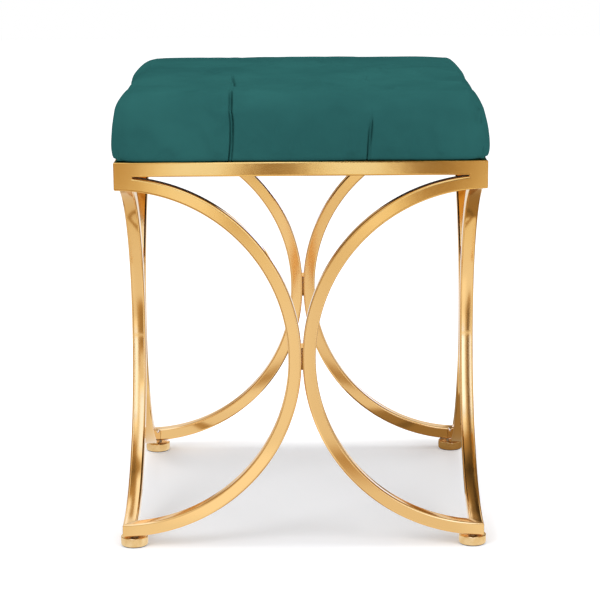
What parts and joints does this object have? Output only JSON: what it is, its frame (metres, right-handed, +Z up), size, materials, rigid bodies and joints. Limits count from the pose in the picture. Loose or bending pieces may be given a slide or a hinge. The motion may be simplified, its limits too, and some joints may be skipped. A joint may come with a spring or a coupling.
{
  "type": "x frame stool",
  "caption": "Square upholstered stool: a tufted velvet cushion on a frame of back-to-back semicircular square tubes, standing on round screw-in feet.",
  "frame": {"origin": "on the floor, under the middle of the stool", "axes": "+Z up, the front faces -Y, +X is to the right as seen from the front"},
  "size_m": [0.4066, 0.4066, 0.5062],
  "materials": {
    "gold_frame": "satin",
    "gold_foot": "satin",
    "weld_bead": "satin",
    "zinc_steel": "satin",
    "teal_velvet": "matte",
    "foam": "matte",
    "plywood": "matte",
    "black_lining": "matte",
    "twine": "matte"
  },
  "bodies": {
    "stool": {"front_rail": "gold_frame", "front_arc_left": "gold_frame", "front_arc_right": "gold_frame", "front_weld": "weld_bead", "right_rail": "gold_frame", "right_arc_front": "gold_frame", "right_arc_rear": "gold_frame", "right_weld": "weld_bead", "rear_rail": "gold_frame", "rear_arc_right": "gold_frame", "rear_arc_left": "gold_frame", "rear_weld": "weld_bead", "left_rail": "gold_frame", "left_arc_rear": "gold_frame", "left_arc_front": "gold_frame", "left_weld": "weld_bead", "front_left_rivet_nut": "zinc_steel", "front_left_corner_plate": "gold_frame", "front_left_cushion_screw": "zinc_steel", "front_left_washer": "zinc_steel", "front_left_tee_nut": "zinc_steel", "front_left_tufting_twine": "twine", "front_right_rivet_nut": "zinc_steel", "front_right_corner_plate": "gold_frame", "front_right_cushion_screw": "zinc_steel", "front_right_washer": "zinc_steel", "front_right_tee_nut": "zinc_steel", "front_right_tufting_twine": "twine", "rear_right_rivet_nut": "zinc_steel", "rear_right_corner_plate": "gold_frame", "rear_right_cushion_screw": "zinc_steel", "rear_right_washer": "zinc_steel", "rear_right_tee_nut": "zinc_steel", "rear_right_tufting_twine": "twine", "rear_left_rivet_nut": "zinc_steel", "rear_left_corner_plate": "gold_frame", "rear_left_cushion_screw": "zinc_steel", "rear_left_washer": "zinc_steel", "rear_left_tee_nut": "zinc_steel", "rear_left_tufting_twine": "twine", "seat_cover": "teal_velvet", "foam_pad": "foam", "seat_board": "plywood", "dust_cover": "black_lining"},
    "front_left_stud": {"front_left_foot_stud": "zinc_steel"},
    "front_left_foot": {"front_left_foot": "gold_foot"},
    "front_right_stud": {"front_right_foot_stud": "zinc_steel"},
    "front_right_foot": {"front_right_foot": "gold_foot"},
    "rear_right_stud": {"rear_right_foot_stud": "zinc_steel"},
    "rear_right_foot": {"rear_right_foot": "gold_foot"},
    "rear_left_stud": {"rear_left_foot_stud": "zinc_steel"},
    "rear_left_foot": {"rear_left_foot": "gold_foot"}
  },
  "joints": [
    {"name": "front_left_foot_height", "type": "slide", "parent": "stool", "child": "front_left_stud", "axis": [0, 0, -1], "range_m": [0, 0.006]},
    {"name": "front_left_foot_turn", "type": "hinge", "parent": "front_left_stud", "child": "front_left_foot", "pos_m": [-0.188, -0.188, 0.005], "axis": [0, 0, -1], "range_deg": [0, 2700]},
    {"name": "front_right_foot_height", "type": "slide", "parent": "stool", "child": "front_right_stud", "axis": [0, 0, -1], "range_m": [0, 0.006]},
    {"name": "front_right_foot_turn", "type": "hinge", "parent": "front_right_stud", "child": "front_right_foot", "pos_m": [0.188, -0.188, 0.005], "axis": [0, 0, -1], "range_deg": [0, 2700]},
    {"name": "rear_right_foot_height", "type": "slide", "parent": "stool", "child": "rear_right_stud", "axis": [0, 0, -1], "range_m": [0, 0.006]},
    {"name": "rear_right_foot_turn", "type": "hinge", "parent": "rear_right_stud", "child": "rear_right_foot", "pos_m": [0.188, 0.188, 0.005], "axis": [0, 0, -1], "range_deg": [0, 2700]},
    {"name": "rear_left_foot_height", "type": "slide", "parent": "stool", "child": "rear_left_stud", "axis": [0, 0, -1], "range_m": [0, 0.006]},
    {"name": "rear_left_foot_turn", "type": "hinge", "parent": "rear_left_stud", "child": "rear_left_foot", "pos_m": [-0.188, 0.188, 0.005], "axis": [0, 0, -1], "range_deg": [0, 2700]}
  ],
  "couplings": [
    {"joint": "front_left_foot_height", "follows": "front_left_foot_turn", "m_per_rad": 0.0001273},
    {"joint": "front_right_foot_height", "follows": "front_right_foot_turn", "m_per_rad": 0.0001273},
    {"joint": "rear_right_foot_height", "follows": "rear_right_foot_turn", "m_per_rad": 0.0001273},
    {"joint": "rear_left_foot_height", "follows": "rear_left_foot_turn", "m_per_rad": 0.0001273}
  ]
}
